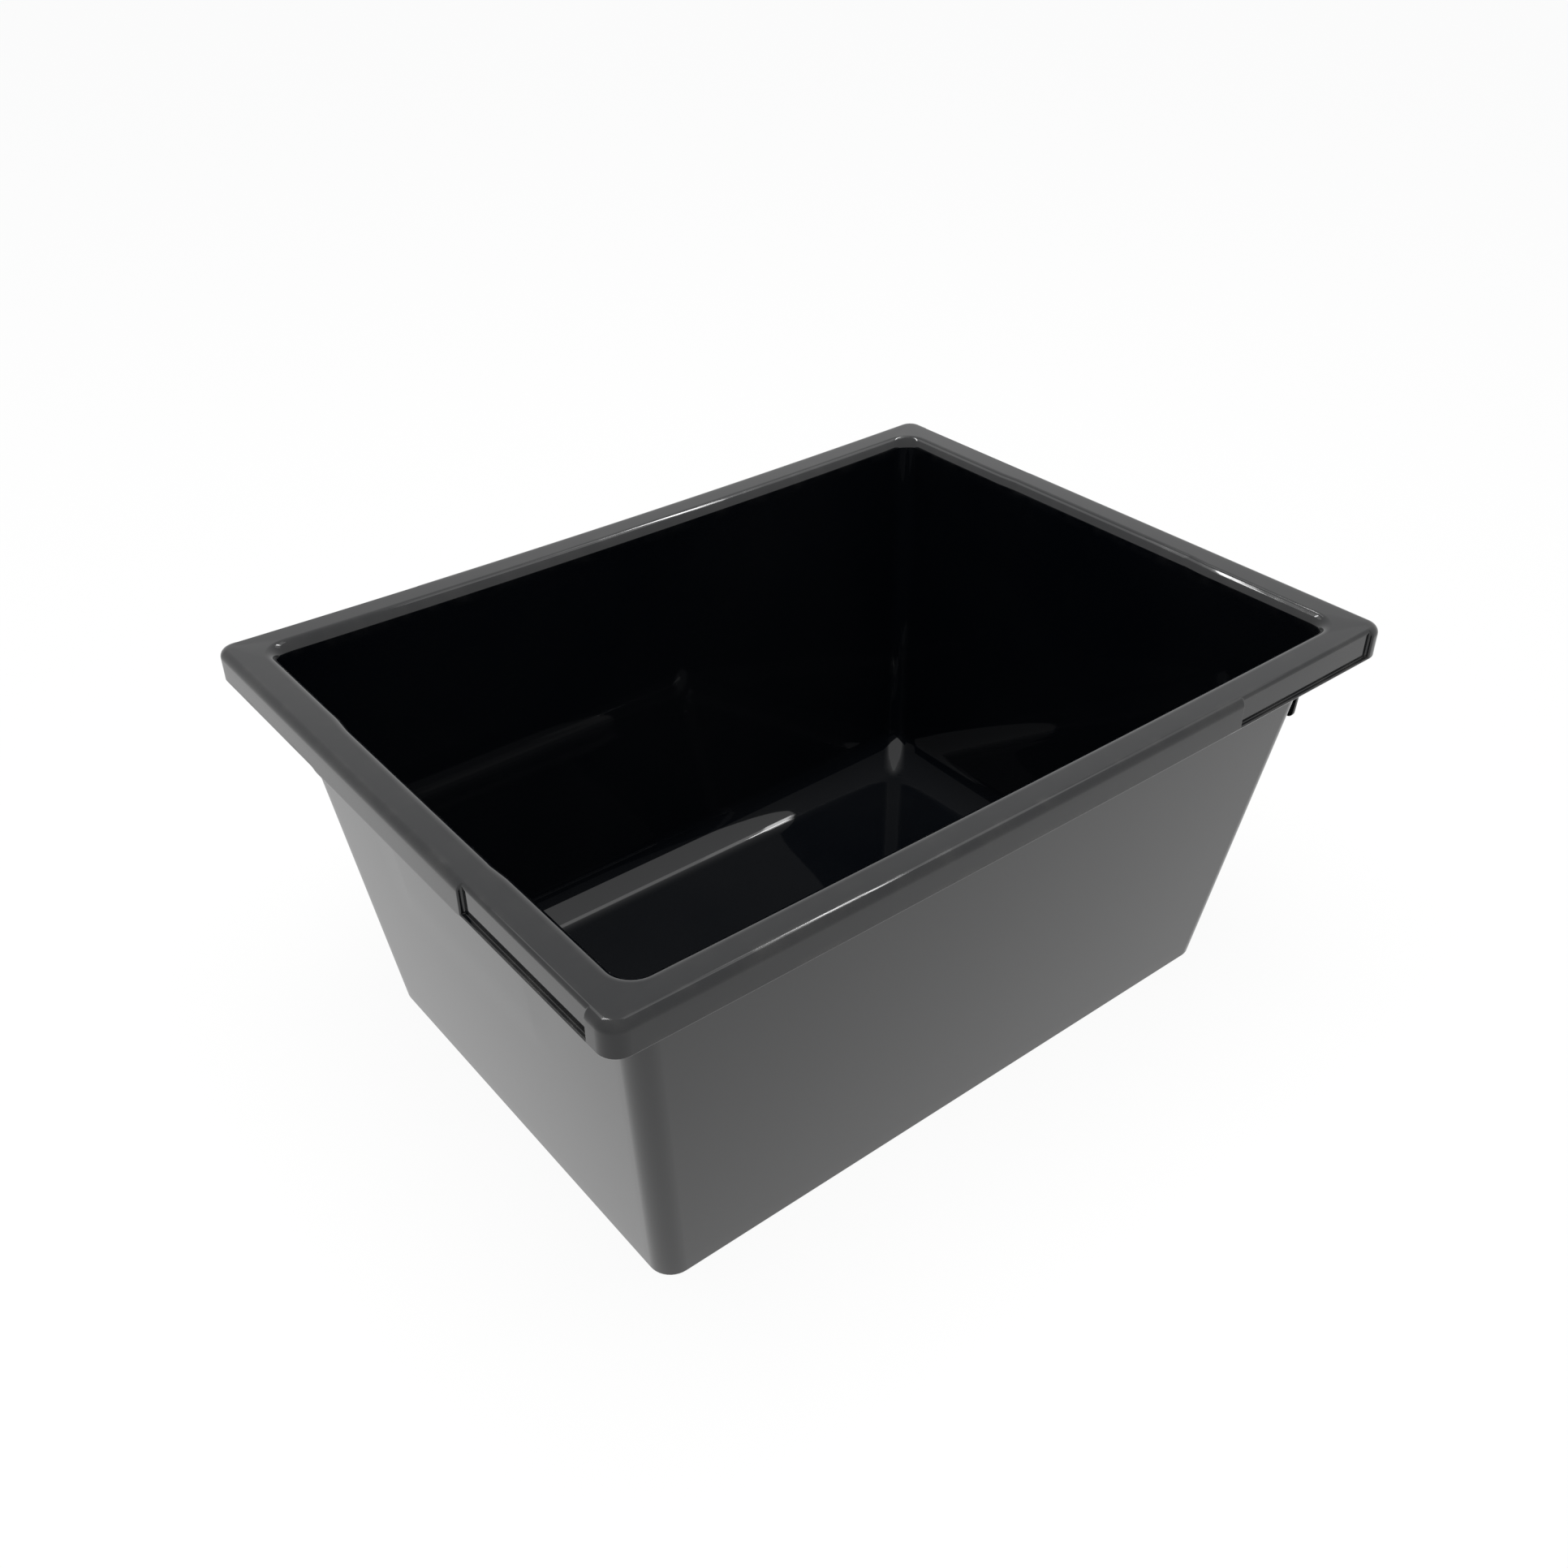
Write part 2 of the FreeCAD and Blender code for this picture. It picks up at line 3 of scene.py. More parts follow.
import bmesh
import bpy
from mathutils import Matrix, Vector


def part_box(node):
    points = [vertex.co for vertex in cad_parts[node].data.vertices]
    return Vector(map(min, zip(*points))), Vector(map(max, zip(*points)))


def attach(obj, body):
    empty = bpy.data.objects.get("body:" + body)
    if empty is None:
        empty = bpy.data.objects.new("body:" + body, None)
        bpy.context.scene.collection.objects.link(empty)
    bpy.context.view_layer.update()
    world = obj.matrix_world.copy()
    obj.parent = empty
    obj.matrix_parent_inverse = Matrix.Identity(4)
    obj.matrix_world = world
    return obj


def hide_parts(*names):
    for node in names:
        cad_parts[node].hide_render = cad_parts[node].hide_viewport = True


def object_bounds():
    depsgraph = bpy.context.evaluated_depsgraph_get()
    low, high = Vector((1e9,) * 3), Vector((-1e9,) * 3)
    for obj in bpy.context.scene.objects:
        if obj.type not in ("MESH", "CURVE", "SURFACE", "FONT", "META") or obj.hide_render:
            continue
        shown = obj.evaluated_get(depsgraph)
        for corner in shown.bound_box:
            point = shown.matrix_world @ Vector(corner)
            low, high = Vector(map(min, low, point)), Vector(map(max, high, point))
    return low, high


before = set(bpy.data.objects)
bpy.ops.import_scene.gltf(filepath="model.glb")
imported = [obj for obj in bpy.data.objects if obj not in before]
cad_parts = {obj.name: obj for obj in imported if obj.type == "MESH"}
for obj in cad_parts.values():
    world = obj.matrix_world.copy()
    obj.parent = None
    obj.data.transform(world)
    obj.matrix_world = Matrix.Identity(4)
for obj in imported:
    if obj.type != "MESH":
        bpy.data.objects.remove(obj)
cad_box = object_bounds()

# ---------------------------------------------------------------- the tub
# One injection moulding in glossy black polyethylene: a floor, four leaning walls, a flat rim and the
# skirt that hangs from it. Nothing is joined on. The long sides of the rim have sunk and drawn in a
# little as the moulding cooled, and each side has a recess near its right-hand end.
rim_half = cad_box[1]
TOP = cad_box[1].z
WALL = 0.0025
FLOOR = 0.003
FLANGE = 0.003
SKIRT = 0.0025
RIM_CORNER = 0.012
WALL_CORNER = 0.0155
BASE_EDGE = 0.0025
FLOOR_EDGE = 0.027
CHANNEL_EDGE = 0.0045
SKIRT_EDGE = 0.0025
LIP_EDGE = 0.0006
RIM_EDGE = 0.0055
MOUTH_EDGE = 0.007
BOW = 0.00125
SAG = 0.00295

# The outer wall faces, from two levels of the frame: the top of the floor pan and of the walls.
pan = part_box("floor_pan")[1]
side_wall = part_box("front_wall")
end_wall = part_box("left_wall")
LEAN = Vector((
    (-end_wall[0].x - pan.x) / (end_wall[1].z - pan.z),
    (-side_wall[0].y - pan.y) / (side_wall[1].z - pan.z),
))
skirt_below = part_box("front_skirt")[0].z


def on_wall(inset, z, corner=None):
    """A ring that lies some way inside the outer wall faces, at a level."""
    half = Vector((pan.x, pan.y)) + LEAN * (z - pan.z) - Vector((inset, inset))
    radius = WALL_CORNER - inset if corner is None else corner
    return {"half": half, "corner": radius, "z": z, "recess": Vector((0, 0)), "rub_and_sheen": 0.0, "ease": 0.0}


def on_rim(inset, z, recessed=None):
    """A ring that lies some way inside the rim's outline, and where it goes in a recess."""
    recessed = recessed or (inset, z)
    half = Vector((rim_half.x - inset, rim_half.y - inset))
    shift = Vector((recessed[0] - inset, recessed[1] - z))
    return {"half": half, "corner": RIM_CORNER - inset, "z": z, "recess": shift, "rub_and_sheen": 0.0, "ease": 0.0}


def arc(inset, z, radius, start, end, steps):
    """Points on a round edge of the section; the angle is 0 outwards and 90 upwards."""
    for step in range(steps + 1):
        angle = math.radians(start + (end - start) * step / steps)
        yield inset - radius * math.cos(angle), z + radius * math.sin(angle)


def between(first, last, steps):
    """Evenly spaced values, without the two ends."""
    return [first + (last - first) * step / steps for step in range(1, steps)]


# The section of the moulding, from the middle of the underside round the rim to the middle of the floor.
RECESS = 0.0026
RECESS_EDGE = 0.0025
LEDGE = 0.0015
LEDGE_LIP = 0.0009
LEDGE_INSIDE = 0.0004
FLANGE_BELOW = TOP - FLANGE
ledge_top = skirt_below + LEDGE
rings = [on_wall(0.030, 0, 0.002), on_wall(0.006, 0, 0.010)]
rings += [on_wall(*point) for point in arc(BASE_EDGE, BASE_EDGE, BASE_EDGE, -90, 0, 4)]
rings += [on_wall(0, z) for z in between(BASE_EDGE, FLANGE_BELOW - CHANNEL_EDGE, 20)]
rings += [on_wall(*point) for point in arc(-CHANNEL_EDGE, FLANGE_BELOW - CHANNEL_EDGE, CHANNEL_EDGE, 180, 90, 5)]
for inset, z in arc(SKIRT + SKIRT_EDGE, FLANGE_BELOW - SKIRT_EDGE, SKIRT_EDGE, 90, 0, 4):
    rings.append(on_rim(inset, z, (inset + RECESS, z)))
rings.append(on_rim(SKIRT, TOP - 0.013, (SKIRT + RECESS, TOP - 0.013)))
for inset, z in arc(SKIRT - LIP_EDGE, skirt_below + LIP_EDGE, LIP_EDGE, 180, 270, 2):
    rings.append(on_rim(inset, z, (inset + RECESS, z)))
rings += [on_rim(*point) for point in arc(LIP_EDGE, skirt_below + LIP_EDGE, LIP_EDGE, -90, 0, 2)]
ledge = list(arc(LEDGE_LIP, ledge_top - LEDGE_LIP, LEDGE_LIP, 0, 90, 4))
ledge += list(arc(RECESS - LEDGE_INSIDE, ledge_top + LEDGE_INSIDE, LEDGE_INSIDE, 270, 180, 3))
# The ledge takes twice the rim edge's amount. That is painted sheen, a lighter, duller band laid over edge wear.
for step, point in enumerate(ledge):
    share = step / len(ledge)
    rings.append(on_rim(0, ledge_top - LEDGE_LIP + (LEDGE_LIP + LEDGE_INSIDE) * share, point))
    rings[-1]["rub_and_sheen"] = 2.0
rings.append(on_rim(0, ledge_top + 0.004, (RECESS, ledge_top + 0.004)))
rings.append(on_rim(0, TOP - 0.010, (RECESS, TOP - 0.010)))
for point, recessed in zip(arc(RIM_EDGE, TOP - RIM_EDGE, RIM_EDGE, 0, 90, 8),
                           arc(RECESS + RECESS_EDGE, TOP - RECESS_EDGE, RECESS_EDGE, 0, 90, 8)):
    rings.append(on_rim(*point, recessed))
    rings[-1]["rub_and_sheen"] = 1.0
rings.append(on_rim(0.0085, TOP))
for point in arc(WALL - MOUTH_EDGE, TOP - MOUTH_EDGE, MOUTH_EDGE, 90, 180, 8):
    rings.append(on_wall(*point))
    rings[-1]["ease"] = 1.0
    rings[-1]["rub_and_sheen"] = 0.6
rings.append(on_wall(WALL, TOP - 0.013))
rings[-1]["ease"] = 0.5
rings += [on_wall(WALL, z) for z in between(TOP - 0.013, FLOOR + FLOOR_EDGE, 16)]
for step in range(13):
    angle = math.radians(90 * (1 - step / 12))
    reach = FLOOR_EDGE * math.sin(angle)
    corner = max(0.001, min(WALL_CORNER - WALL, reach))
    rings.append(on_wall(WALL + FLOOR_EDGE - reach, FLOOR + FLOOR_EDGE * (1 - math.cos(angle)), corner))
rings.append(on_wall(0.050, FLOOR, 0.001))

# Where the columns stand along the sides: an even spacing, closer at the ends of recesses and grips.
RECESS_END_RADIUS = 0.0012
GRIP = 0.174
GRIP_FADE = 0.004
GRIP_EASE = 0.0012
EASE_FADE = 0.0012
grip_drop = skirt_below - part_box("left_skirt")[0].z
long_recess = (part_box("front_recess_panel")[0].x + SKIRT, rim_half.x - 0.014)
short_recess = (-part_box("left_recess_panel")[1].y + SKIRT, rim_half.y - 0.021)
END_COLUMNS = [-1, -0.75, -0.45, -0.2, -0.03, 0.03, 0.2, 0.45, 0.75, 1]
GRIP_COLUMNS = [-1, -0.5, 0, 0.5, 1]


def columns(half, spacing, recess, extra=()):
    """Places along a side at which the section stands, on both halves of the side."""
    count = round((half - RIM_CORNER) / spacing)
    places = {round(spacing * step, 5) for step in range(count)}
    places |= {round(end + RECESS_END_RADIUS * part, 5) for end in recess for part in END_COLUMNS}
    places |= set(extra)
    return sorted(places | {-place for place in places})


shell = bmesh.new()
bmesh.ops.create_grid(shell, x_segments=1, y_segments=1, size=1.0)
bmesh.ops.scale(shell, verts=shell.verts, vec=(rim_half.x, rim_half.y, 1))
bmesh.ops.bevel(shell, geom=shell.verts[:], offset=RIM_CORNER, affect="VERTICES", segments=10,
                profile=0.5, material=-1)
bmesh.ops.delete(shell, geom=shell.faces[:], context="FACES_ONLY")
grip_columns = [GRIP / 2 + GRIP_FADE * part for part in GRIP_COLUMNS]
grip_columns += [GRIP / 2 + EASE_FADE * part for part in GRIP_COLUMNS]
for normal, places in (
    ((1, 0, 0), columns(rim_half.x, 0.018, long_recess)),
    ((0, 1, 0), columns(rim_half.y, 0.016, short_recess, grip_columns)),
):
    for place in places:
        bmesh.ops.bisect_plane(shell, geom=shell.verts[:] + shell.edges[:], dist=1e-6,
                               plane_co=Vector(normal) * place, plane_no=normal)
core_layer = shell.verts.layers.float_vector.new("core")
way_layer = shell.verts.layers.float_vector.new("way")
rub_and_sheen_layer = shell.verts.layers.float.new("rub_and_sheen")
flat = Vector((rim_half.x - RIM_CORNER, rim_half.y - RIM_CORNER))
for vert in shell.verts:
    core = Vector((max(-flat.x, min(flat.x, vert.co.x)), max(-flat.y, min(flat.y, vert.co.y))))
    vert[core_layer] = (core.x / flat.x, core.y / flat.y, 0)
    vert[way_layer] = ((vert.co.xy - core) / RIM_CORNER).to_3d()


def rise(place, end):
    """How much of a recess's depth there is, this far past its end, over two small radii."""
    far = abs(place - end) / RECESS_END_RADIUS
    if far >= 1:
        return 1.0 if place > end else 0.0
    share = RECESS_END_RADIUS / RECESS * (1 - math.sqrt(1 - (1 - far) ** 2))
    return 1 - share if place > end else share


def stretch(place, span):
    """1 inside a recess's span and 0 outside it."""
    return rise(place, span[0]) - rise(place, span[1])


def fade(place, end, width):
    """A soft step from 1 to 0 at an end."""
    share = max(0.0, min(1.0, (place - end) / (2 * width) + 0.5))
    return 1 - share * share * (3 - 2 * share)


def place_on(vert, ring):
    """Puts a vertex where a ring of the section passes its column."""
    core, way = vert[core_layer], vert[way_layer]
    inner = Vector((ring["half"].x - ring["corner"], ring["half"].y - ring["corner"]))
    spot = Vector((core.x * inner.x, core.y * inner.y)) + ring["corner"] * way.xy
    level = ring["z"]
    along_x, along_y = abs(way.y) > 0.999, abs(way.x) > 0.999
    share = 0.0
    if along_x:
        share = stretch(-math.copysign(spot.x, way.y * spot.x), long_recess)
    elif along_y:
        share = stretch(math.copysign(spot.y, way.x * spot.y), short_recess)
    spot -= way.xy * ring["recess"].x * share
    level += ring["recess"].y * share
    height = max(0.0, level / TOP)
    middle = (1 - (spot.x / rim_half.x) ** 2) * way.y ** 2
    spot.y -= math.copysign(BOW * middle * height ** 3, way.y)
    level -= SAG * middle * height ** 3
    if along_y and ring["z"] <= skirt_below + LIP_EDGE and ring["z"] > TOP / 2:
        level -= grip_drop * fade(abs(spot.y), GRIP / 2, GRIP_FADE)
    if along_y:
        spot.x += math.copysign(GRIP_EASE * ring["ease"] * fade(abs(spot.y), GRIP / 2, EASE_FADE), way.x)
    vert.co = (spot.x, spot.y, level)
    vert[rub_and_sheen_layer] = ring["rub_and_sheen"]


edge_loop = shell.edges[:]
for vert in shell.verts:
    place_on(vert, rings[0])
bmesh.ops.contextual_create(shell, geom=edge_loop)
for ring in rings[1:]:
    made = bmesh.ops.extrude_edge_only(shell, edges=edge_loop)["geom"]
    fresh = {item for item in made if isinstance(item, bmesh.types.BMVert)}
    edge_loop = [item for item in made if isinstance(item, bmesh.types.BMEdge) and set(item.verts) <= fresh]
    for vert in fresh:
        place_on(vert, ring)
bmesh.ops.contextual_create(shell, geom=edge_loop)
bmesh.ops.remove_doubles(shell, verts=shell.verts, dist=1e-6)
bmesh.ops.recalc_face_normals(shell, faces=shell.faces)
for face in shell.faces:
    face.smooth = True

tub_mesh = bpy.data.meshes.new("tub")
shell.to_mesh(tub_mesh)
shell.free()
tub = bpy.data.objects.new("tub", tub_mesh)
bpy.context.scene.collection.objects.link(tub)
weighted = tub.modifiers.new("even_shading", "WEIGHTED_NORMAL")
weighted.mode = "FACE_AREA"
weighted.weight = 50


def effect(name, takes, gives):
    """An empty node group for one effect, with its named inputs and outputs."""
    group = bpy.data.node_groups.new(name, "ShaderNodeTree")
    for kind, label, value in takes:
        socket = group.interface.new_socket(label, in_out="INPUT", socket_type="NodeSocket" + kind)
        if value is not None:
            socket.default_value = value
    for kind, label in gives:
        group.interface.new_socket(label, in_out="OUTPUT", socket_type="NodeSocket" + kind)
    return group, group.nodes.new("NodeGroupInput"), group.nodes.new("NodeGroupOutput")


def add(tree, kind, links=(), **settings):
    """A node with its settings, numbered or named values, and what feeds it."""
    node = tree.nodes.new("ShaderNode" + kind)
    for key, value in settings.items():
        if key == "values":
            for socket, number in value.items():
                node.inputs[socket].default_value = number
        else:
            setattr(node, key, value)
    for source, socket in links:
        tree.links.new(source, node.inputs[socket])
    return node


# Ripple: the faint swell that the mould and the shrinking plastic leave in a glossy wall, and the much
# finer skin of the polish. The height is in metres.
ripple, given, result = effect("ripple", [("Vector", "Place", None), ("Float", "Swell", 0.00002),
                                          ("Float", "Skin", 0.000001)], [("Float", "Height")])
swell = add(ripple, "TexNoise", [(given.outputs["Place"], "Vector")], values={"Scale": 9.0, "Detail": 1.0})
skin = add(ripple, "TexNoise", [(given.outputs["Place"], "Vector")], values={"Scale": 620.0, "Detail": 2.0})
swollen = add(ripple, "Math", [(swell.outputs["Fac"], 0), (given.outputs["Swell"], 1)], operation="MULTIPLY")
skinned = add(ripple, "Math", [(skin.outputs["Fac"], 0), (given.outputs["Skin"], 1), (swollen.outputs[0], 2)],
              operation="MULTIPLY_ADD")
ripple.links.new(skinned.outputs[0], result.inputs["Height"])

# Scuffs: thin, short handling scratches that lie in loose patches.
scuffs, given, result = effect("scuffs", [("Vector", "Place", None), ("Float", "Spread", 0.5)],
                               [("Float", "Mask")])
wander = add(scuffs, "TexNoise", [(given.outputs["Place"], "Vector")], values={"Scale": 14.0, "Detail": 2.0})
bent = add(scuffs, "VectorMath", [(wander.outputs["Color"], 0), (given.outputs["Place"], 2)],
           operation="MULTIPLY_ADD", values={1: (0.05, 0.05, 0.05)})
cracks = add(scuffs, "TexVoronoi", [(bent.outputs[0], "Vector")], feature="DISTANCE_TO_EDGE",
             values={"Scale": 24.0, "Randomness": 1.0})
thin = add(scuffs, "MapRange", [(cracks.outputs["Distance"], "Value")],
           values={"From Min": 0.0, "From Max": 0.012, "To Min": 1.0, "To Max": 0.0})
patch = add(scuffs, "TexNoise", [(given.outputs["Place"], "Vector")], values={"Scale": 11.0, "Detail": 4.0})
edge = add(scuffs, "Math", [(given.outputs["Spread"], 1)], operation="SUBTRACT", values={0: 1.0})
kept = add(scuffs, "MapRange", [(patch.outputs["Fac"], "Value"), (edge.outputs[0], "From Min")],
           values={"From Max": 0.85})
lines = add(scuffs, "Math", [(thin.outputs[0], 0), (kept.outputs[0], 1)], operation="MULTIPLY", use_clamp=True)
scuffs.links.new(lines.outputs[0], result.inputs["Mask"])

# Rub and sheen: dulling and lightening along edges that hands and other tubs touch, broken up so that it is
# not a line. On the recess ledge it is painted sheen: a lighter, duller band that stands in for the ledge's
# reflection.
rub_and_sheen, given, result = effect("rub_and_sheen", [("Vector", "Place", None), ("Float", "Edge", 0.0), ("Float", "Amount", 0.5)],
                            [("Float", "Mask")])
broken = add(rub_and_sheen, "TexNoise", [(given.outputs["Place"], "Vector")], values={"Scale": 55.0, "Detail": 5.0})
worn = add(rub_and_sheen, "MapRange", [(broken.outputs["Fac"], "Value")], values={"From Min": 0.42, "From Max": 0.72})
along = add(rub_and_sheen, "Math", [(worn.outputs[0], 0), (given.outputs["Edge"], 1)], operation="MULTIPLY")
share = add(rub_and_sheen, "Math", [(along.outputs[0], 0), (given.outputs["Amount"], 1)], operation="MULTIPLY",
            use_clamp=True)
rub_and_sheen.links.new(share.outputs[0], result.inputs["Mask"])

# Haze: the dry film of dust and fingers on a stored tub, thicker in clouds and in fine specks.
haze, given, result = effect("haze", [("Vector", "Place", None), ("Float", "Amount", 0.5)], [("Float", "Mask")])
clouds = add(haze, "TexNoise", [(given.outputs["Place"], "Vector")], values={"Scale": 6.0, "Detail": 6.0})
specks = add(haze, "TexNoise", [(given.outputs["Place"], "Vector")], values={"Scale": 900.0, "Detail": 1.0})
cloud = add(haze, "MapRange", [(clouds.outputs["Fac"], "Value")], values={"From Min": 0.35, "From Max": 0.7})
speck = add(haze, "MapRange", [(specks.outputs["Fac"], "Value")], values={"From Min": 0.5, "From Max": 0.75})
dusty = add(haze, "Math", [(speck.outputs[0], 0), (cloud.outputs[0], 2)], operation="MULTIPLY_ADD",
            values={1: 0.6})
film = add(haze, "Math", [(dusty.outputs[0], 0), (given.outputs["Amount"], 1)], operation="MULTIPLY",
           use_clamp=True)
haze.links.new(film.outputs[0], result.inputs["Mask"])

# The lighter grey of worn edges is also the painted sheen on the recess ledge.
BLACK = (0.0012, 0.0018, 0.0030, 1)
RUBBED_AND_SHEEN = (0.014, 0.014, 0.014, 1)
FILM = (0.030, 0.030, 0.029, 1)
black = bpy.data.materials.new("black_plastic")
black.use_nodes = True
tree = black.node_tree
shader = tree.nodes["Principled BSDF"]
shader.inputs["IOR"].default_value = 1.5
place = add(tree, "TexCoord").outputs["Object"]


def placed(group, **values):
    """An effect in the material, on the piece's own coordinates."""
    node = add(tree, "Group", node_tree=group, values=values)
    tree.links.new(place, node.inputs["Place"])
    return node


# The section's per-ring amounts: edge wear on the rims, and painted sheen on the recess ledge.
edges = add(tree, "Attribute", attribute_name="rub_and_sheen")
rubbed_and_sheen = placed(rub_and_sheen, Amount=0.7)
tree.links.new(edges.outputs["Fac"], rubbed_and_sheen.inputs["Edge"])
scuffed = placed(scuffs, Spread=0.46)
hazed = placed(haze, Amount=0.06)
rippled = placed(ripple, Swell=0.00005, Skin=0.0000009)
tone = add(tree, "Mix", [(rubbed_and_sheen.outputs["Mask"], 0)], data_type="RGBA", values={6: BLACK, 7: RUBBED_AND_SHEEN})
filmed = add(tree, "Mix", [(hazed.outputs["Mask"], 0), (tone.outputs[2], 6)], data_type="RGBA", values={7: FILM})
tree.links.new(filmed.outputs[2], shader.inputs["Base Color"])
dull = add(tree, "Math", [(hazed.outputs["Mask"], 0)], operation="MULTIPLY_ADD", values={1: 0.20, 2: 0.022})
duller = add(tree, "Math", [(scuffed.outputs["Mask"], 0), (dull.outputs[0], 2)], operation="MULTIPLY_ADD",
             values={1: 0.16})
dullest = add(tree, "Math", [(rubbed_and_sheen.outputs["Mask"], 0), (duller.outputs[0], 2)], operation="MULTIPLY_ADD",
              values={1: 0.22})
tree.links.new(dullest.outputs[0], shader.inputs["Roughness"])
bump = add(tree, "Bump", [(rippled.outputs["Height"], "Height")], values={"Distance": 1.0, "Strength": 1.0})
tree.links.new(bump.outputs["Normal"], shader.inputs["Normal"])
tub.data.materials.append(black)

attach(tub, "root")
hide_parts(*[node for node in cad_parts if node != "nesting_stop"])

# ---------------------------------------------------------------- the nesting stop
# A small plate moulded under the rim at one end, in the channel between the wall and the skirt. It keeps
# nested tubs from jamming. It hangs from the flange and follows the wall's lean.
STOP_THICKNESS = 0.0025
STOP_EDGE = 0.0005
STOP_CORNER = 0.004
stop_low, stop_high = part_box("nesting_stop")
lean = stop_high.x - STOP_THICKNESS - stop_low.x
plate = bmesh.new()
bmesh.ops.create_cube(plate, size=1.0)
bmesh.ops.scale(plate, vec=(STOP_THICKNESS, stop_high.y - stop_low.y, stop_high.z - stop_low.z), verts=plate.verts)
bmesh.ops.translate(plate, verts=plate.verts, vec=(stop_low.x + STOP_THICKNESS / 2,
                    (stop_low.y + stop_high.y) / 2, (stop_low.z + stop_high.z) / 2))
top_verts = [vert for vert in plate.verts if vert.co.z > stop_high.z - 0.001]
bmesh.ops.translate(plate, verts=top_verts, vec=(lean, 0, 0))
lower_ends = [item for item in plate.edges
              if abs(item.verts[0].co.z - item.verts[1].co.z) < 0.001
              and item.verts[0].co.z < stop_low.z + 0.001
              and abs(item.verts[0].co.y - item.verts[1].co.y) < 0.001]
bmesh.ops.bevel(plate, geom=lower_ends, offset=STOP_CORNER, affect="EDGES", segments=6, profile=0.5, material=-1)
rims = [item for item in plate.edges if item.calc_face_angle(0) > 1.2]
bmesh.ops.bevel(plate, geom=rims, offset=STOP_EDGE, affect="EDGES", segments=3, profile=0.5, material=-1)
bmesh.ops.recalc_face_normals(plate, faces=plate.faces)
for face in plate.faces:
    face.smooth = True
stop_mesh = bpy.data.meshes.new("nesting_stop_plate")
plate.to_mesh(stop_mesh)
plate.free()
stop = bpy.data.objects.new("nesting_stop_plate", stop_mesh)
bpy.context.scene.collection.objects.link(stop)
even = stop.modifiers.new("even_shading", "WEIGHTED_NORMAL")
even.mode = "FACE_AREA"
stop.data.materials.append(black)
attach(stop, "root")
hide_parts("nesting_stop")

# ---------------------------------------------------------------- the studio floor
# A plain white sheet that the tub stands on, and that takes its shadow. It is as white in the gloss of the
# tub's walls as it is to the eye.
SHEET_WHITE = (0.97, 0.97, 0.97, 1)
SHEET_GLOW = 0.94
floor_mesh = bpy.data.meshes.new("studio_floor")
sheet = bmesh.new()
bmesh.ops.create_grid(sheet, x_segments=1, y_segments=1, size=15)
sheet.to_mesh(floor_mesh)
sheet.free()
floor = bpy.data.objects.new("studio_floor", floor_mesh)
bpy.context.scene.collection.objects.link(floor)
floor_paint = bpy.data.materials.new("studio_floor")
floor_paint.use_nodes = True
tree = floor_paint.node_tree
tree.nodes.clear()
rays = add(tree, "LightPath")
clear = add(tree, "Math", [(rays.outputs["Is Camera Ray"], 0), (rays.outputs["Is Transmission Ray"], 1)],
            operation="MAXIMUM")
seen = add(tree, "Math", [(clear.outputs[0], 0), (rays.outputs["Is Glossy Ray"], 1)], operation="MAXIMUM")
paper = add(tree, "BsdfDiffuse", values={"Color": SHEET_WHITE})
glow = add(tree, "Emission", values={"Color": (1, 1, 1, 1), "Strength": 1.0})
share = add(tree, "Math", [(seen.outputs[0], 0)], operation="MULTIPLY", values={1: SHEET_GLOW})
mix = add(tree, "MixShader", [(share.outputs[0], 0), (paper.outputs[0], 1), (glow.outputs[0], 2)])
out = add(tree, "OutputMaterial", [(mix.outputs[0], "Surface")])
floor.data.materials.append(floor_paint)

# ---------------------------------------------------------------- light and camera
# A white room with plain soft light from overhead. Narrow ceiling lights and the paler ceiling round them
# leave the long streaks along the rims and the floor's foot.
world = bpy.data.worlds.new("studio")
bpy.context.scene.world = world
world.use_nodes = True
tree = world.node_tree
tree.nodes.clear()
ambient = add(tree, "Background", values={"Color": (0.94, 0.97, 1.0, 1), "Strength": 0.42})
white = add(tree, "Background", values={"Color": (1, 1, 1, 1), "Strength": 1.0})
rays = add(tree, "LightPath")
clear = add(tree, "Math", [(rays.outputs["Is Camera Ray"], 0), (rays.outputs["Is Transmission Ray"], 1)],
            operation="MAXIMUM")
seen = add(tree, "Math", [(clear.outputs[0], 0), (rays.outputs["Is Glossy Ray"], 1)], operation="MAXIMUM")
mix = add(tree, "MixShader", [(seen.outputs[0], 0), (ambient.outputs[0], 1), (white.outputs[0], 2)])
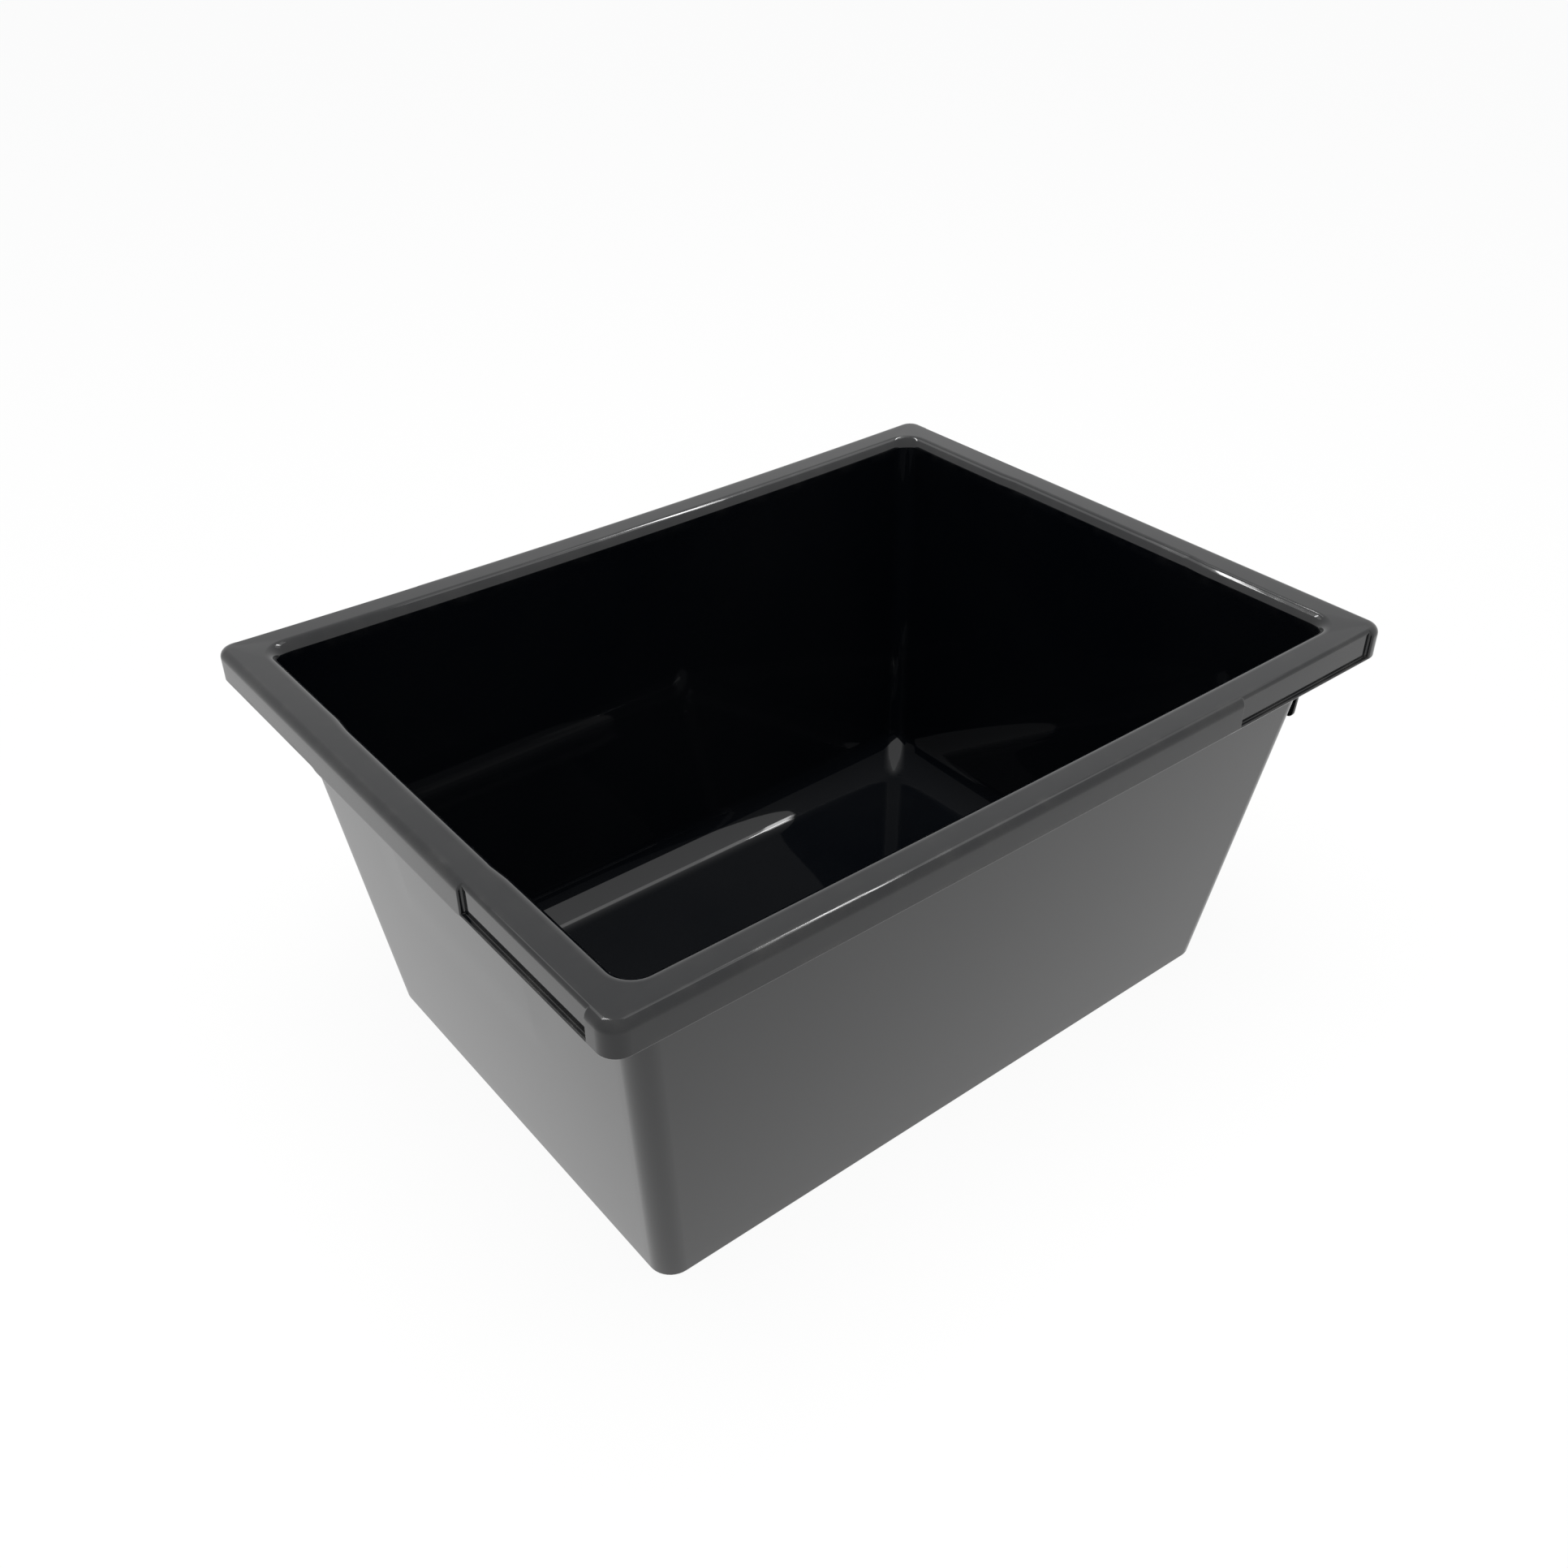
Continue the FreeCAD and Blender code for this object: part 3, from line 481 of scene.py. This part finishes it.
out = add(tree, "OutputWorld", [(mix.outputs[0], "Surface")])


def lamp(name, place, energy, size, colour=(1.0, 1.0, 1.0)):
    """A rectangular lamp that faces straight down."""
    data = bpy.data.lights.new(name, "AREA")
    data.shape = "RECTANGLE"
    data.size, data.size_y = size
    data.energy = energy
    data.color = colour
    made = bpy.data.objects.new(name, data)
    made.location = place
    bpy.context.scene.collection.objects.link(made)
    return made


softbox = lamp("softbox", (-0.2, -0.2, 2.4), 56, (1.6, 1.6), (1.0, 0.98, 0.95))
softbox.visible_glossy = False
for name, place, radiance, size in (
    ("near_tube", (2.74, 0.52, 4.59), 8, (0.14, 0.74)),
    ("tube", (2.73, 1.66, 4.59), 21, (0.22, 1.50)),
    ("tube_halo", (2.68, 1.65, 4.60), 1.5, (0.62, 2.70)),
    ("tube_end", (2.58, 0.75, 4.60), 3.0, (0.20, 0.70)),
    ("ceiling_left", (2.15, 0.75, 4.60), 1.1, (1.30, 0.90)),
    ("ceiling_left_far", (2.15, 1.80, 4.60), 0.6, (1.10, 1.20)),
    ("ceiling_right", (3.45, 1.20, 4.60), 0.85, (0.90, 2.40)),
    ("ceiling_far_right", (4.35, 0.40, 4.60), 0.45, (0.90, 2.20)),
    ("cross_tube", (-0.10, 2.42, 4.59), 22, (2.00, 0.20)),
    ("cross_halo", (-0.20, 2.42, 4.60), 1.4, (2.60, 0.75)),
    ("ceiling_back", (-0.05, 3.50, 4.60), 0.9, (1.80, 1.40)),
):
    tube = lamp(name, place, radiance * math.pi * size[0] * size[1], size)
    tube.visible_diffuse = False
    tube.data.cycles.max_bounces = 0 if name.endswith("tube") else 1

camera = bpy.data.objects.new("camera", bpy.data.cameras.new("camera"))
camera.data.sensor_width = 36
camera.data.lens = 36.069
camera.location = (-0.55828, -0.68186, 0.77600)
camera.rotation_euler = (math.radians(55.312), math.radians(0.322), math.radians(-38.649))
bpy.context.scene.collection.objects.link(camera)
bpy.context.scene.camera = camera
bpy.context.scene.view_settings.view_transform = "Standard"
